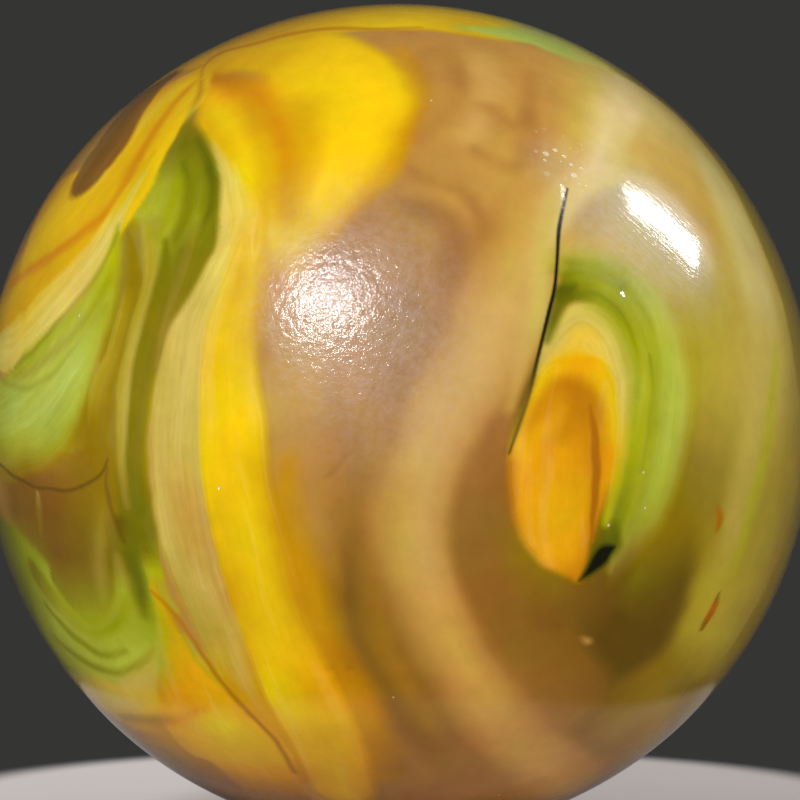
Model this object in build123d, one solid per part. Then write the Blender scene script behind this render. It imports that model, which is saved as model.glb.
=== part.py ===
from build123d import *

# A glass marble: one ball of solid glass, rolled round while hot from a gather of several coloured glasses.
# The colours are streaks within the one piece of glass, so they have no solids of their own.
# The surface carries one cold seam, where the hot glass folded over on itself, and a few marks from knocks:
# a crescent nick, a round chip and some small chips.
#
# All lengths are in millimetres. The origin is the ball's centre, +Z is up, and -Y is the side with the seam.
# A place on the ball is (east, north): degrees to the right of -Y, and degrees above the equator.
import os
from math import cos, radians, sin

# The ball
marble_diameter = 16.0

# The cold seam, from its top over its bend to its foot
seam_width = 0.12
seam_depth = 0.07
seam_top = (30.0, 36.1)
seam_bend = (23.7, 22.3)
seam_foot = (15.4, -1.6)

# The crescent nick
nick_width = 0.11
nick_depth = 0.04
nick_low_end = (-9.8, -5.0)
nick_middle = (-8.2, -3.9)
nick_high_end = (-7.0, -2.1)

# The round chip and the small chips: each leaves a round mouth of that diameter and a hollow of that depth.
round_chip_diameter = 0.30
round_chip_depth = 0.06
round_chip_place = (35.1, 20.5)

small_chip_diameter = 0.16
small_chip_depth = 0.03
small_chip_places = [(30.8, 37.6), (35.4, 41.6), (-11.0, -33.4), (-7.7, -33.2)]

marble_radius = marble_diameter / 2


# A point at a height over the ball's surface; a height under zero is inside the glass.
def over_surface(place, height):
    east, north = (radians(angle) for angle in place)
    outward = Vector(sin(east) * cos(north), -cos(east) * cos(north), sin(north))
    return outward * (marble_radius + height)


# The radius of a round cutter that opens a mouth of that width and sinks to that depth
def cutter_radius(mouth_width, depth):
    return (depth**2 + (mouth_width / 2) ** 2) / (2 * depth)


# The cutter of a furrow: a round bar bent along the ball, with round ends, so the furrow runs out softly.
def furrow_cutter(width, depth, start, middle, end):
    bar_radius = cutter_radius(width, depth)
    start, middle, end = (over_surface(place, bar_radius - depth) for place in (start, middle, end))
    route = ThreePointArc(start, middle, end)
    section = Plane(origin=route @ 0, z_dir=route % 0) * Circle(bar_radius)
    round_ends = [Pos(*point) * Sphere(bar_radius) for point in (start, end)]
    return sweep(section, path=route) + round_ends


# The cutter of a chip: a ball. The marble's own curve lowers the mouth's rim a little under its middle.
def chip_cutter(diameter, depth, place):
    rim_drop = marble_radius - (marble_radius**2 - (diameter / 2) ** 2) ** 0.5
    ball_radius = cutter_radius(diameter, depth - rim_drop)
    return Pos(*over_surface(place, ball_radius - depth)) * Sphere(ball_radius)


# The glass ball, with its seam and its marks cut out of the surface
def glass_marble():
    seam = furrow_cutter(seam_width, seam_depth, seam_top, seam_bend, seam_foot)
    nick = furrow_cutter(nick_width, nick_depth, nick_low_end, nick_middle, nick_high_end)
    round_chip = chip_cutter(round_chip_diameter, round_chip_depth, round_chip_place)
    small_chips = [chip_cutter(small_chip_diameter, small_chip_depth, place) for place in small_chip_places]
    return Sphere(marble_radius) - seam - nick - round_chip - small_chips


os.makedirs("parts", exist_ok=True)
export_step(glass_marble(), "parts/glass_marble.step")
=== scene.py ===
import bpy
import numpy as np
from mathutils import Matrix, Vector


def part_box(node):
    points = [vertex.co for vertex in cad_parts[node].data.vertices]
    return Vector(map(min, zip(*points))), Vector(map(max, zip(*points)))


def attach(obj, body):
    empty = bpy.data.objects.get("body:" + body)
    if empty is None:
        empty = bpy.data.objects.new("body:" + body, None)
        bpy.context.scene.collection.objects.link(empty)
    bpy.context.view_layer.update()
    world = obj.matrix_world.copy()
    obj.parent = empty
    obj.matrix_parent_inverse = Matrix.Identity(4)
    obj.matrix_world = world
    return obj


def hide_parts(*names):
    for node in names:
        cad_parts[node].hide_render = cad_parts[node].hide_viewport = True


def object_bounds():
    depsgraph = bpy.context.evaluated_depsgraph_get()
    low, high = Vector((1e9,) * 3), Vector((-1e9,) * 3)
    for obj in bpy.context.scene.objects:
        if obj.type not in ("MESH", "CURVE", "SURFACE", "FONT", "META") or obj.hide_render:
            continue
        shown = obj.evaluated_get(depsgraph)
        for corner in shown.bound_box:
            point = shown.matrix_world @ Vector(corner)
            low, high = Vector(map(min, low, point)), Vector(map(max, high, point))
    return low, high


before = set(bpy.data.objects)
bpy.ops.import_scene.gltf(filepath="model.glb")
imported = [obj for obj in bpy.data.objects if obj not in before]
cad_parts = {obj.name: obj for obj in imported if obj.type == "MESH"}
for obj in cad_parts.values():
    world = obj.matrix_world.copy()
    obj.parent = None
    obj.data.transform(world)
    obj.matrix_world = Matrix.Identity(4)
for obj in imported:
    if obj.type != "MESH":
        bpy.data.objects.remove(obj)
solid_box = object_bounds()

# The camera. A long lens stands almost level with the marble and sees its seam side, so the ball shows with
# hardly any perspective. It aims a little over the ball's centre, and the frame cuts the ball's foot close.
camera_height_angle = np.radians(3.0)
camera_distance = 0.40
seen_width = 0.015355
aim_right = 0.000044
aim_up = 0.000388
film_width_mm = 36.0

view_right = np.array([1.0, 0.0, 0.0])
view_up = np.array([0.0, np.sin(camera_height_angle), np.cos(camera_height_angle)])
view_near = np.array([0.0, -np.cos(camera_height_angle), np.sin(camera_height_angle)])

camera_data = bpy.data.cameras.new("long_lens")
camera_data.sensor_width = film_width_mm
camera_data.lens = film_width_mm * camera_distance / seen_width
camera_data.clip_start = 0.01
camera_data.clip_end = 10.0
camera = bpy.data.objects.new("camera", camera_data)
bpy.context.scene.collection.objects.link(camera)
camera.location = Vector(aim_right * view_right + aim_up * view_up + camera_distance * view_near)
camera.rotation_euler = Vector(-view_near).to_track_quat("-Z", "Y").to_euler()
bpy.context.scene.camera = camera
bpy.context.scene.view_settings.view_transform = "Standard"

# The studio. A round pale floor lies under the marble, and its far edge shows just over the frame's foot.
# The backdrop is charcoal, and soft light comes from all round; the backdrop's grey is what is seen of it.
floor_half_width = 0.0100
floor_half_depth = 0.0168
floor_middle = 0.0082
floor_roughness = 0.8
fade_start = 0.86  # as a share of the way from the floor's middle to its edge
mirror_dimming = 0.62  # how far the floor goes to the backdrop's grey as the marble mirrors it
soft_light_strength = 0.75


def light_values(shown):
    """The light values of screen colours, both from 0 to 1"""
    return np.where(shown <= 0.04045, shown / 12.92, ((np.maximum(shown, 0) + 0.055) / 1.055) ** 2.4)


def screen_colour(red, green, blue):
    """The light values of a colour that is given as it shows on a screen, from 0 to 255"""
    return tuple(light_values(np.array([red, green, blue]) / 255)) + (1.0,)


floor_grey = screen_colour(196, 188, 184)
backdrop_grey = screen_colour(53, 53, 52)


def node(tree, kind, inputs=(), **settings):
    """A new node of that kind, its inputs fed by values or by other nodes' outputs"""
    made = tree.nodes.new("ShaderNode" + kind)
    for name, value in settings.items():
        setattr(made, name, value)
    for name, value in dict(inputs).items():
        if isinstance(value, bpy.types.NodeSocket):
            tree.links.new(value, made.inputs[name])
        else:
            made.inputs[name].default_value = value
    return made


bpy.ops.mesh.primitive_circle_add(vertices=160, radius=1.0, fill_type="NGON")
floor = bpy.context.object
floor.name = "studio_floor"
floor.location = (0, floor_middle, solid_box[0][2])
floor.scale = (floor_half_width, floor_half_depth, 1.0)
floor_paint = bpy.data.materials.new("floor_paint")
floor_paint.use_nodes = True
paint = floor_paint.node_tree
floor_place = node(paint, "TexCoord").outputs["Object"]
way_out = node(paint, "VectorMath", {0: floor_place}, operation="LENGTH").outputs["Value"]
fade_ends = {"Value": way_out, "From Min": fade_start, "From Max": 1.0}
fade = node(paint, "MapRange", fade_ends, interpolation_type="SMOOTHSTEP").outputs[0]
mirror_ray = node(paint, "LightPath").outputs["Is Glossy Ray"]
dimming = {0: mirror_ray, 1: mirror_dimming, 2: fade}
dimmed = node(paint, "Math", dimming, operation="MULTIPLY_ADD", use_clamp=True).outputs[0]
floor_ends = {"Factor": dimmed, "A": floor_grey, "B": backdrop_grey}
floor_tone = node(paint, "Mix", floor_ends, data_type="RGBA").outputs["Result"]
floor_shader = paint.nodes["Principled BSDF"]
paint.links.new(floor_tone, floor_shader.inputs["Base Color"])
floor_shader.inputs["Roughness"].default_value = floor_roughness
floor.data.materials.append(floor_paint)

world = bpy.data.worlds.new("studio_air")
bpy.context.scene.world = world
world.use_nodes = True
air = world.node_tree
air.nodes.clear()
ray = node(air, "LightPath").outputs
seen = node(air, "Math", {0: ray["Is Camera Ray"], 1: ray["Is Glossy Ray"]}, operation="MAXIMUM").outputs[0]
seen = node(air, "Math", {0: seen, 1: ray["Is Transmission Ray"]}, operation="MAXIMUM").outputs[0]
white = (1.0, 1.0, 1.0, 1.0)
soft_light = node(air, "Background", {"Color": white, "Strength": soft_light_strength}).outputs[0]
backdrop = node(air, "Background", {"Color": backdrop_grey}).outputs[0]
chosen = node(air, "MixShader", {0: seen, 1: soft_light, 2: backdrop}).outputs[0]
node(air, "OutputWorld", {"Surface": chosen})

# The two lamps: a round one to the upper left of the camera, and a window-shaped one to the right of the ball
lamp_distance = 0.30
lamp_colour = (0.93, 0.95, 1.0)


def hang_lamp(name, shape, width, height, brightness, direction, long_side):
    """Hang a lamp so that it faces the ball; each direction is right, up and towards the camera"""
    lamp = bpy.data.lights.new(name, "AREA")
    lamp.shape = shape
    lamp.size = width
    lamp.size_y = height
    area = width * height * (np.pi / 4 if shape == "DISK" else 1)
    lamp.energy = brightness * area * np.pi
    lamp.color = lamp_colour
    away = direction[0] * view_right + direction[1] * view_up + direction[2] * view_near
    away = away / np.linalg.norm(away)
    side = long_side[0] * view_right + long_side[1] * view_up + long_side[2] * view_near
    side = side - (side @ away) * away
    side = side / np.linalg.norm(side)
    top = np.cross(away, side)
    hung = bpy.data.objects.new(name, lamp)
    bpy.context.scene.collection.objects.link(hung)
    placed = Matrix(np.stack([side, top, away], axis=1).tolist()).to_4x4()
    placed.translation = Vector(away * lamp_distance)
    hung.matrix_world = placed


hang_lamp("round_lamp", "DISK", width=0.046, height=0.046, brightness=84.0,
          direction=(-0.329, 0.522, 0.786), long_side=(1, 0, 0))
hang_lamp("window_lamp", "RECTANGLE", width=0.096, height=0.042, brightness=19.0,
          direction=(0.785, 0.580, -0.229), long_side=(0.396, -0.771, -0.498))

# The glass marble. It is one ball of solid glass, rolled round while hot from a gather of several coloured
# glasses, so its colours are streaks within the one piece. Its seam and its marks are cut in the surface.
# From here to the mesh, lengths are in millimetres and places on the ball are directions from its centre.
ball_low, ball_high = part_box("glass_marble")
marble_radius = 1000 * min(ball_high[axis] - ball_low[axis] for axis in range(3)) / 2
front = np.array([0.0, -1.0, 0.0])

# The ball's skin is a cube's six faces blown up round, with its points drawn towards the seam side.
points_along_edge = 128
draw_to_front = 1.7


def cube_skin():
    """The directions of a round grid's points, and its four-sided faces"""
    count = points_along_edge + 1
    across = np.tan(np.linspace(-np.pi / 4, np.pi / 4, count))
    u, v = np.meshgrid(across, across, indexing="ij")
    one = np.ones_like(u)
    sides = [(one, u, v), (-one, v, u), (v, one, u), (u, -one, v), (u, v, one), (v, u, -one)]
    places = np.concatenate([np.stack(side, axis=-1).reshape(-1, 3) for side in sides])
    places = places / np.linalg.norm(places, axis=1)[:, None]
    corner = (np.arange(points_along_edge)[:, None] * count + np.arange(points_along_edge)).reshape(-1)
    ring = np.stack([corner, corner + count, corner + count + 1, corner + 1], axis=1)
    quads = np.concatenate([ring + face * count * count for face in range(6)])
    rounded = np.round(places * 1e6).astype(np.int64)
    _, first, whose = np.unique(rounded, axis=0, return_index=True, return_inverse=True)
    return places[first], whose.reshape(-1)[quads]


def drawn_to_front(places):
    """The same directions, crowded towards the front by one round-keeping stretch"""
    depth = places @ front
    flat = places - depth[:, None] * front
    moved = flat / (1 + depth)[:, None].clip(1e-9) / draw_to_front
    size = np.sum(moved**2, axis=1)[:, None]
    return np.where(depth[:, None] < -0.999999, -front, (2 * moved + (1 - size) * front) / (1 + size))


skin, skin_faces = cube_skin()
skin = drawn_to_front(skin)

# The glasses of the gather, as screen colours of red, green and blue from 0 to 255
glasses = {
    "sun": (246, 198, 0), "yellow": (234, 192, 0), "gold": (216, 166, 0), "honey": (204, 146, 0),
    "orange": (230, 160, 0), "pumpkin": (208, 134, 0), "amber": (188, 122, 0), "rust": (178, 100, 0),
    "straw": (226, 188, 52), "cream": (222, 198, 92), "peach": (226, 198, 134), "ivory": (214, 200, 134),
    "khaki": (204, 178, 84), "sand": (208, 164, 88), "wheat": (200, 158, 68), "tan": (186, 136, 62),
    "clay": (172, 120, 50), "fawn": (158, 108, 48), "brown": (144, 98, 32), "umber": (126, 88, 22),
    "bark": (98, 72, 10), "mustard": (181, 158, 46), "oak": (150, 126, 40), "dun": (146, 118, 6),
    "olive": (128, 114, 10), "moss": (112, 108, 0), "grass": (142, 148, 8), "leaf": (164, 166, 34),
    "pea": (178, 176, 20), "lime": (184, 190, 64), "mint": (180, 194, 86), "pine": (82, 86, 2),
    # The grey after copper is no glass: it is painted haze of the window lamp's reflection.
    # The last black is the chink's dark glass, and along the seam it is painted shade in the slit.
    "tangerine": (238, 166, 0), "copper": (180, 108, 4), "slate": (150, 128, 82), "ink": (22, 22, 5),
}
shades_across = 9
steps_between_places = 10


def on_ball(across, up, far=False):
    """The place seen that far right and up of the centre; one past the outline lies on the far side"""
    out = max(np.hypot(across, up), 1e-9)
    flat_out = out if out <= marble_radius else 2 * marble_radius - out
    depth = np.sqrt(max(marble_radius**2 - flat_out**2, 0.0))
    depth = -depth if far or out > marble_radius else depth
    place = (across * view_right + up * view_up) * (flat_out / out) + depth * view_near
    return place / np.linalg.norm(place)


def eased(share):
    share = np.clip(share, 0.0, 1.0)
    return share * share * (3.0 - 2.0 * share)


def through(values, steps):
    """A smooth run of values through the given ones, with that many steps from each to the next"""
    values = np.asarray(values, float)
    before = np.concatenate([2 * values[:1] - values[1:2], values[:-2]])
    after = np.concatenate([values[2:], 2 * values[-1:] - values[-2:-1]])
    share = (np.arange(steps) / steps).reshape((-1,) + (1,) * (values.ndim - 1))
    spans = []
    for p, a, b, n in zip(before, values[:-1], values[1:], after):
        spans.append(0.5 * (2 * a + (b - p) * share + (2 * p - 5 * a + 4 * b - n) * share**2
                            + (3 * a - p - 3 * b + n) * share**3))
    return np.concatenate(spans + [values[-1:]])


def between(rows, spot):
    """What a table's rows give at spots between them"""
    low = np.minimum(spot.astype(int), len(rows) - 2)
    part = (spot - low).reshape((-1,) + (1,) * (rows.ndim - 1))
    return rows[low] * (1 - part) + rows[low + 1] * part


def shades(names):
    """The glasses of those names from a streak's left edge to its right one"""
    names = names.split()
    table = np.array([glasses[name] for name in names + names[-1:]], float) / 255
    return between(table, np.linspace(0, len(names) - 1, shades_across))


class Line:
    """A line on the ball through places of (across, up, half of the width as seen, names of its glasses)

    A place that names no glasses keeps those of the place before it.
    """

    steepest = 0.3  # the least share of a width that the ball's turning away leaves to be seen
    widest_reach = 3.1  # as an angle in radians, just short of the far side

    def __init__(self, places, far=False):
        route = through([on_ball(place[0], place[1], far) for place in places], steps_between_places)
        self.route = route / np.linalg.norm(route, axis=1)[:, None]
        along = np.gradient(self.route, axis=0) * marble_radius
        self.step = np.linalg.norm(along, axis=1)
        self.along = along / self.step[:, None]
        self.left = np.cross(self.route, self.along)
        self.run = np.concatenate([[0], np.cumsum(self.step[1:])])
        seen = np.maximum(np.abs(self.route @ view_near), self.steepest)
        stretch = np.maximum(np.hypot(self.along @ view_right, self.along @ view_up) / seen, 1.0)
        half_width = through([place[2] for place in places], steps_between_places)
        self.half_width = np.maximum(half_width, 0.0) * stretch
        named = []
        for place in places:
            named.append(shades(place[3]) if len(place) > 3 else named[-1])
        spots = np.linspace(0, len(named) - 1, (len(named) - 1) * steps_between_places + 1)
        self.tints = between(np.array(named), spots)

    def near(self, reach):
        """Which points of the skin lie within that reach of the line"""
        nearness = (skin @ self.route[::4].T).max(axis=1)
        return np.flatnonzero(nearness > np.cos(min(reach / marble_radius, self.widest_reach)))

    def measure(self, places):
        """Where along the line each place lies, how far to its side, and how far past its ends"""
        nearest = np.argmax(places @ self.route.T, axis=1)
        away = (places - self.route[nearest]) * marble_radius
        ahead = np.einsum("ij,ij->i", away, self.along[nearest])
        side = np.einsum("ij,ij->i", away, self.left[nearest])
        spot = np.clip(nearest + ahead / self.step[nearest], 0, len(self.route) - 1)
        past_end = np.where(nearest == 0, np.maximum(-ahead, 0), 0)
        past_end = np.where(nearest == len(self.route) - 1, np.maximum(ahead, 0), past_end)
        return spot, side, past_end


# The streaks follow a wavering copy of the skin. Each waver has a length and a height.
wavers = ((5.0, 0.03), (2.2, 0.0175), (1.0, 0.01), (0.5, 0.005))
wavers_of_each = 5
waver_draw = np.random.default_rng(5)
wavy_skin = skin.copy()
for length, height in wavers:
    for _ in range(wavers_of_each):
        across = waver_draw.normal(size=3)
        across = across / np.linalg.norm(across) * 2 * np.pi * marble_radius / length
        swing = np.sin(skin @ across + waver_draw.uniform(0, 6.3))
        wavy_skin += np.outer(swing, waver_draw.normal(size=3)) * height / marble_radius
wavy_skin /= np.linalg.norm(wavy_skin, axis=1)[:, None]

# What each point of the skin keeps: its colour, its distances across and along its streak for the fine grain,
# and in each of two layers the fine line that is nearest to it.
line_layers = 2
line_reach = 0.4
line_end_taper = 1.5
edge_slack = 0.5  # how much farther than a streak's edge its points are looked for, as the skin wavers
thinnest_full = 0.3  # as a share of its edge's softness; a streak thinner than this is fainter
softest_with_threads = 0.3  # a softer streak leaves the fine threads of the glass under it
no_line = (1.0, -1.0, 0.1)
skin_colour = np.tile(np.array(glasses["tan"]) / 255.0, (len(skin), 1))
skin_flow = np.zeros((len(skin), 3))
line_side = np.tile(no_line, (line_layers, len(skin), 1))
line_colour = np.zeros((line_layers, len(skin), 4))
line_gap = np.full((line_layers, len(skin)), np.inf)


def streak(places, soft=0.15, soft_right=None, body=1.0, far=False, still=False):
    """Lay a streak of glass over the skin, with an edge of that softness on each side"""
    soft_right = soft_right or soft
    line = Line(places, far)
    near = line.near(line.half_width.max() + 2 * max(soft, soft_right) + edge_slack)
    spot, side, past_end = line.measure((skin if still else wavy_skin)[near])
    half_width = between(line.half_width, spot)
    softness = np.where(side < 0, soft, soft_right)
    inside = half_width - np.hypot(side, past_end)
    cover = eased(inside / softness + 0.5) * eased(half_width / (thinnest_full * softness)) * body
    rows = between(line.tints, spot)
    place_across = (np.clip(side / np.maximum(half_width, 1e-6), -1, 1) + 1) / 2 * (shades_across - 1)
    low = np.minimum(place_across.astype(int), shades_across - 2)
    part = (place_across - low)[:, None]
    each = np.arange(len(side))
    tint = rows[each, low] * (1 - part) + rows[each, low + 1] * part
    skin_colour[near] += (tint - skin_colour[near]) * cover[:, None]
    if soft < softest_with_threads:
        flow = np.stack([side, between(line.run, spot), np.zeros(len(side))], axis=1)
        skin_flow[near] += (flow - skin_flow[near]) * cover[:, None]


def fine_line(places, soft=0.06, body=1.0, still=False, layer=0):
    """Keep a line that is finer than the skin's points, by each point's distance to it"""
    line = Line(places)
    near = line.near(line.half_width.max() + line_reach + edge_slack)
    spot, side, past_end = line.measure((skin if still else wavy_skin)[near])
    half_width = between(line.half_width, spot)
    gap = np.hypot(side, past_end) - half_width
    closer = gap < np.minimum(line_gap[layer, near], line_reach)
    mine = near[closer]
    line_gap[layer, mine] = gap[closer]
    inside_end = half_width - line_end_taper * past_end
    line_side[layer, mine] = np.stack([side, inside_end, np.full(len(side), soft)], axis=1)[closer]
    line_colour[layer, mine, :3] = between(line.tints[:, shades_across // 2], spot)[closer]
    line_colour[layer, mine, 3] = body


# The streaks, from the ground up. Each names its glasses from the viewer's left to right where it runs down.
# The ground of brown glasses, front and back
streak([
    (1.3, 7.8, 1.8, "tan"), (1.4, 6.0, 2.2, "clay tan wheat"), (1.0, 4.2, 2.6, "fawn tan wheat"),
    (0.2, 2.2, 2.8, "clay fawn tan"), (-0.2, 0.2, 2.8, "wheat clay fawn"),
    (-0.1, -1.8, 2.8, "tan clay brown"), (0.2, -3.6, 2.8, "honey brown umber"),
    (0.9, -5.4, 2.8, "honey brown brown"), (1.8, -7.2, 2.6, "brown fawn")
], soft=0.8)
streak([
    (-1.0, 7.7, 2.0, "gold amber"), (-0.5, 5.5, 4.0, "tan fawn tan"), (0.0, 2.5, 6.0, "clay fawn brown tan"),
    (0.0, -0.5, 6.5, "dun brown fawn oak"), (0.3, -3.5, 6.0, "umber fawn brown oak"),
    (0.6, -6.0, 4.0, "brown umber brown"), (0.6, -7.6, 2.0, "fawn")
], soft=1.5, far=True)

# Broad runs of the back and of the two flanks
streak([
    (2.2, 7.0, 0.8, "honey amber"), (3.4, 5.0, 1.2, "wheat khaki tan"), (3.2, 2.6, 1.2, "tan sand clay"),
    (2.2, 0.4, 1.1, "clay sand tan"), (1.8, -2.0, 1.2, "brown tan fawn"), (2.4, -4.4, 1.2, "umber tan brown"),
    (2.6, -6.6, 0.8, "umber brown")
], soft=0.9, far=True)
streak([
    (-1.6, 7.2, 0.6, "amber"), (-2.2, 5.4, 0.9, "khaki sand tan"), (-1.9, 3.0, 0.9, "wheat sand clay"),
    (-0.8, 0.8, 0.9, "sand wheat fawn"), (-0.4, -1.6, 0.9, "tan wheat brown"),
    (-0.9, -4.2, 0.8, "brown tan umber"), (-0.9, -6.6, 0.6, "brown umber")
], soft=0.7, far=True)
streak([
    (5.6, 5.4, 0.7, "wheat khaki oak"), (7.0, 3.2, 1.1, "tan mustard oak"),
    (7.3, 0.6, 1.3, "brown dun oak mustard"), (6.9, -2.2, 1.3, "umber dun oak"),
    (5.4, -4.8, 1.2, "umber bark dun"), (3.6, -6.8, 0.8, "fawn umber")
], soft=0.9, far=True)
streak([
    (-7.6, 1.6, 0.7, "honey amber dun"), (-7.7, -0.6, 1.1, "dun umber brown"),
    (-7.1, -2.8, 1.2, "olive dun brown"), (-5.8, -4.8, 1.1, "oak dun umber"), (-4.0, -6.6, 0.8, "umber fawn")
], soft=0.9, far=True)
streak([
    (-3.2, 7.0, 0.5, "amber brown"), (-4.6, 6.0, 0.9, "brown umber amber"),
    (-5.9, 4.9, 1.0, "umber brown honey"), (-6.9, 3.4, 0.9, "brown amber honey"),
    (-7.5, 1.8, 0.6, "amber honey")
], soft=0.7, far=True)

# Bands of the back
streak([
    (-5.4, 5.6, 0.2, "amber brown"), (-6.3, 4.2, 0.5, "honey gold amber"),
    (-6.9, 2.4, 0.75, "gold yellow honey"), (-6.5, 0.6, 0.85, "yellow sun gold"),
    (-5.4, -1.2, 0.7, "yellow yellow honey"), (-4.0, -2.8, 0.55, "gold yellow honey"),
    (-3.2, -4.6, 0.6, "honey gold amber"), (-3.0, -6.2, 0.35, "honey amber"), (-2.2, -7.4, 0.15, "amber")
], soft=0.4, soft_right=0.7, far=True)
streak([
    (-5.6, 5.0, 0.05, "copper"), (-6.2, 3.6, 0.08), (-6.3, 1.8, 0.1), (-5.6, 0.2, 0.09, "amber"),
    (-4.6, -1.6, 0.08), (-3.7, -3.4, 0.06)
], soft=0.45, body=0.6, far=True)
streak([
    (0.4, 7.9, 0.2, "yellow"), (1.4, 6.9, 0.5, "gold yellow sun"),
    (2.2, 5.4, 0.75, "honey yellow sun yellow"), (2.5, 3.6, 0.65, "honey yellow sun cream"),
    (1.9, 1.6, 0.5, "amber gold yellow cream"), (0.9, -0.2, 0.62, "amber gold yellow straw"),
    (0.3, -2.2, 0.75, "honey gold yellow straw"), (0.6, -4.2, 0.55, "amber honey gold"),
    (1.4, -6.0, 0.35, "amber honey"), (1.7, -7.3, 0.15, "amber")
], soft=0.7, soft_right=0.4, far=True)
streak([
    (3.0, 7.2, 0.15, "mint lime"), (4.2, 6.0, 0.35, "cream lime leaf"),
    (5.0, 4.4, 0.5, "cream mint leaf moss"), (5.0, 2.6, 0.6, "khaki lime leaf moss"),
    (4.2, 0.8, 0.42, "khaki lime grass moss"), (3.5, -1.0, 0.34, "wheat leaf moss"),
    (3.4, -2.8, 0.46, "tan leaf grass olive"), (3.7, -4.6, 0.36, "tan leaf olive"),
    (3.4, -6.4, 0.15, "tan oak")
], soft=0.4, soft_right=0.7, far=True)
streak([
    (5.4, 4.6, 0.05, "moss"), (5.55, 2.9, 0.09), (4.9, 1.0, 0.08, "olive"), (4.1, -0.8, 0.06)
], soft=0.45, body=0.6, far=True)
streak([
    (-3.2, 6.8, 0.08, "olive"), (-3.7, 5.4, 0.35, "olive grass moss"),
    (-3.6, 3.8, 0.6, "oak leaf grass moss"), (-2.9, 2.2, 0.5, "dun leaf grass moss"),
    (-2.1, 0.6, 0.32, "dun leaf olive"), (-1.9, -1.2, 0.4, "dun leaf moss"),
    (-2.3, -3.0, 0.45, "oak leaf moss"), (-2.6, -4.8, 0.28, "olive dun"), (-2.2, -6.6, 0.1, "dun")
], soft=0.6, soft_right=0.4, far=True)
streak([
    (-4.2, 5.2, 0.12, "cream"), (-4.35, 3.6, 0.22, "cream khaki"), (-3.5, 1.8, 0.2),
    (-2.6, 0.2, 0.14, "khaki")
], soft=0.45, body=0.75, far=True)
streak([
    (-0.5, 5.6, 0.05, "cream"), (-0.8, 4.8, 0.4, "cream straw cream"),
    (-1.1, 3.7, 0.6, "khaki straw yellow straw"), (-0.9, 2.5, 0.5, "khaki yellow tangerine yellow"),
    (-0.5, 1.3, 0.3, "straw tangerine pumpkin"), (-0.2, 0.2, 0.1, "amber")
], soft=0.3, far=True)

# The right side's khaki and olive
streak([
    (4.7, 6.5, 0.9, "peach khaki oak"), (5.9, 5.2, 1.4), (6.4, 3.8, 1.8, "khaki wheat khaki oak"),
    (6.5, 2.2, 1.9, "mustard mustard khaki oak"), (6.5, 0.5, 1.9, "leaf mustard khaki oak"),
    (6.4, -1.0, 1.9, "dun oak mustard oak"), (5.9, -2.4, 1.9, "olive dun mustard oak"),
    (5.2, -3.8, 2.0, "bark dun mustard oak"), (4.3, -5.2, 2.0, "umber bark dun"),
    (3.2, -6.8, 1.8, "fawn umber")
], soft=0.7, soft_right=2.0)
streak([
    (3.0, -2.2, 0.9, "dun"), (3.4, -3.3, 1.2, "oak umber bark"), (3.5, -4.4, 1.5, "umber bark umber"),
    (3.6, -5.8, 1.8, "fawn umber dun"), (3.4, -7.4, 1.6, "fawn")
], soft=0.8)
streak([
    (4.9, -1.0, 0.2, "dun"), (5.1, -2.0, 0.5, "dun"), (5.0, -3.0, 0.6, "olive bark"),
    (4.6, -3.9, 0.6, "bark"), (3.9, -4.6, 0.4, "bark")
], soft=0.7)

# The brown run right of the sand band
streak([
    (1.9, 1.2, 0.2, "tan"), (1.75, 0.0, 0.6, "tan fawn clay"), (1.7, -1.5, 0.7, "fawn brown"),
    (1.9, -2.8, 0.8, "brown brown dun"), (2.4, -4.0, 0.9, "brown umber"), (3.2, -5.2, 0.9, "fawn umber")
], soft=0.5)

# The dark run left of the sand band
streak([
    (-1.2, 0.6, 0.2, "clay"), (-1.1, -0.8, 0.4, "clay fawn"), (-1.05, -2.0, 0.4, "clay brown"),
    (-0.95, -3.2, 0.35, "honey umber brown"), (-0.75, -4.2, 0.3, "umber"), (-0.3, -5.2, 0.3, "brown umber"),
    (0.4, -6.2, 0.3, "fawn umber"), (1.2, -7.1, 0.3, "fawn")
], soft=0.6)

# The sand band
streak([
    (3.1, 7.2, 0.5, "wheat khaki"), (3.3, 6.2, 0.5, "tan wheat khaki"), (3.2, 5.2, 0.55),
    (2.7, 4.2, 0.6, "tan wheat"), (2.25, 3.2, 0.7, "clay wheat sand"), (1.9, 2.2, 0.85, "tan sand sand"),
    (1.6, 1.3, 0.9, "tan sand sand tan"), (1.0, 0.4, 0.85), (0.55, -0.6, 0.75),
    (0.3, -1.6, 0.75, "tan wheat sand tan"), (0.35, -2.8, 0.75, "clay wheat sand tan"),
    (0.7, -3.9, 0.75, "brown tan wheat clay"), (1.3, -4.9, 0.75, "brown tan wheat fawn"),
    (2.1, -5.9, 0.8, "brown tan tan fawn"), (3.2, -7.0, 0.8, "fawn tan fawn")
], soft=0.4)

# The cloud's darker cells and veins
streak([
    (0.4, 6.95, 0.08, "clay"), (0.85, 6.95, 0.2), (1.1, 6.6, 0.2, "fawn"), (1.05, 6.2, 0.15, "clay"),
    (0.8, 5.8, 0.15), (0.5, 5.3, 0.1)
], soft=0.4, body=0.6)
streak([
    (1.6, 6.9, 0.25, "sand"), (1.7, 6.4, 0.3), (1.5, 5.9, 0.2), (1.4, 5.4, 0.3), (1.6, 4.9, 0.15, "tan")
], soft=0.5, body=0.55)
streak([
    (1.4, 6.0, 0.05, "fawn"), (1.8, 5.85, 0.1, "clay"), (2.15, 5.6, 0.12), (2.45, 5.9, 0.2, "fawn"),
    (2.5, 6.6, 0.15, "clay")
], soft=0.4, body=0.6)
streak([
    (2.45, 5.8, 0.15, "fawn"), (2.45, 5.3, 0.25, "clay"), (2.3, 4.8, 0.15, "fawn"), (1.9, 4.85, 0.1, "clay"),
    (1.5, 5.05, 0.08, "fawn")
], soft=0.4, body=0.6)
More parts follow.
